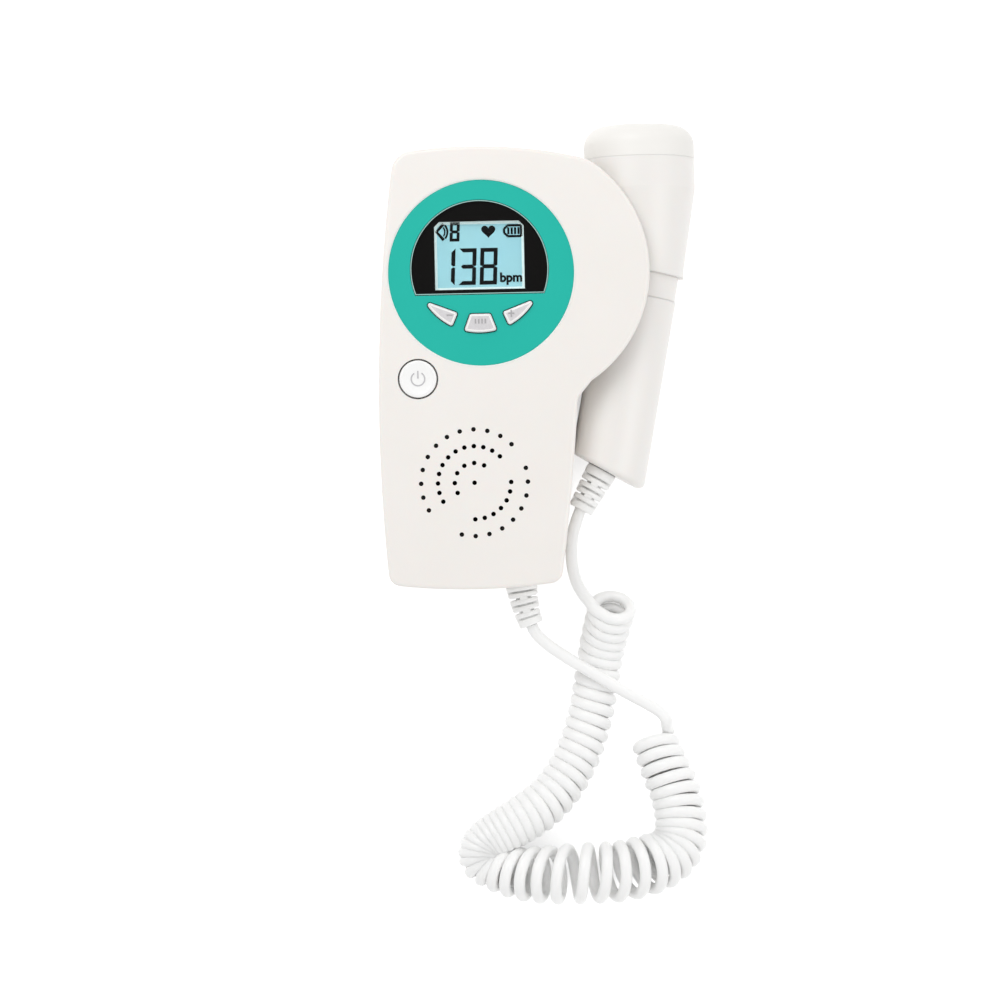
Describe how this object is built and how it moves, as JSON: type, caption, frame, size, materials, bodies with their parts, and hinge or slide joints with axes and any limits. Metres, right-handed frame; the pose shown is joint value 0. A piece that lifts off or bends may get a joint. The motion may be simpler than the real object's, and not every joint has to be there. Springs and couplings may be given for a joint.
{
  "type": "fetal doppler monitor",
  "caption": "Hand-held fetal doppler monitor: flat case with round display, keys and loudspeaker, and an ultrasound probe on a curly cord in a side channel.",
  "frame": {"origin": "on the flat back, at half the case's length, under the centre line of the round face plate", "axes": "+X to the probe's side, +Y to the top of the case, +Z out of the front face"},
  "size_m": [0.0997, 0.2405, 0.0386],
  "materials": {
    "case_abs": "moulded, soft gloss",
    "face_abs": "moulded, satin",
    "window_acrylic": "polished",
    "window_print": "printed black",
    "lcd_glass": "polished",
    "inner_plastic": "moulded",
    "light_guide": "moulded, milky",
    "key_plastic": "moulded, pearl",
    "silicone": "moulded",
    "circuit_board": "solder mask",
    "switch_metal": "stamped",
    "screw_steel": "zinc plated",
    "speaker_steel": "painted black",
    "speaker_paper": "treated paper",
    "battery_wrap": "wrapped can",
    "relief_rubber": "moulded",
    "cord_jacket": "extruded, soft",
    "probe_abs": "moulded, soft gloss",
    "probe_face": "moulded, satin",
    "crystal": "ceramic",
    "backing_foam": "cast"
  },
  "bodies": {
    "main": {"front_case": "case_abs", "rear_case": "case_abs", "case_screws": "screw_steel", "face_ring": "face_abs", "window_mask": "window_print", "display_window": "window_acrylic", "lcd_glass": "lcd_glass", "lcd_frame": "inner_plastic", "backlight": "light_guide", "key_pad": "silicone", "power_switch": "switch_metal", "main_board": "circuit_board", "board_screws": "screw_steel", "speaker_frame": "speaker_steel", "speaker_cone": "speaker_paper", "speaker_magnet": "speaker_steel", "battery_9v": "battery_wrap", "battery_snap": "inner_plastic", "body_strain_relief": "relief_rubber", "body_lead": "cord_jacket", "coil_cord": "cord_jacket"},
    "probe": {"probe_head": "probe_abs", "probe_face_cap": "probe_face", "transducer_crystals": "crystal", "transducer_backing": "backing_foam", "probe_collar": "probe_abs", "probe_handle": "probe_abs", "probe_board": "circuit_board", "probe_strain_relief": "relief_rubber", "probe_lead": "cord_jacket"},
    "battery_door": {"battery_door": "case_abs"},
    "key_left": {"key_left": "key_plastic"},
    "key_middle": {"key_middle": "key_plastic"},
    "key_right": {"key_right": "key_plastic"},
    "power_button": {"power_button": "key_plastic"}
  },
  "joints": [
    {"name": "key_left_press", "type": "slide", "parent": "main", "child": "key_left", "axis": [0, 0, -1], "range_m": [0, 0.0008], "stiffness_N_per_m": 1200, "springref_m": -0.0004},
    {"name": "key_middle_press", "type": "slide", "parent": "main", "child": "key_middle", "axis": [0, 0, -1], "range_m": [0, 0.0008], "stiffness_N_per_m": 1200, "springref_m": -0.0004},
    {"name": "key_right_press", "type": "slide", "parent": "main", "child": "key_right", "axis": [0, 0, -1], "range_m": [0, 0.0008], "stiffness_N_per_m": 1200, "springref_m": -0.0004},
    {"name": "power_button_press", "type": "slide", "parent": "main", "child": "power_button", "axis": [0, 0, -1], "range_m": [0, 0.0008], "stiffness_N_per_m": 1500, "springref_m": -0.0004},
    {"name": "probe_slide", "type": "slide", "parent": "main", "child": "probe", "axis": [0.1874, 0.9823, 0], "range_m": [0, 0.062]},
    {"name": "battery_door_slide", "type": "slide", "parent": "main", "child": "battery_door", "axis": [0, -1, 0], "range_m": [0, 0.052]}
  ]
}
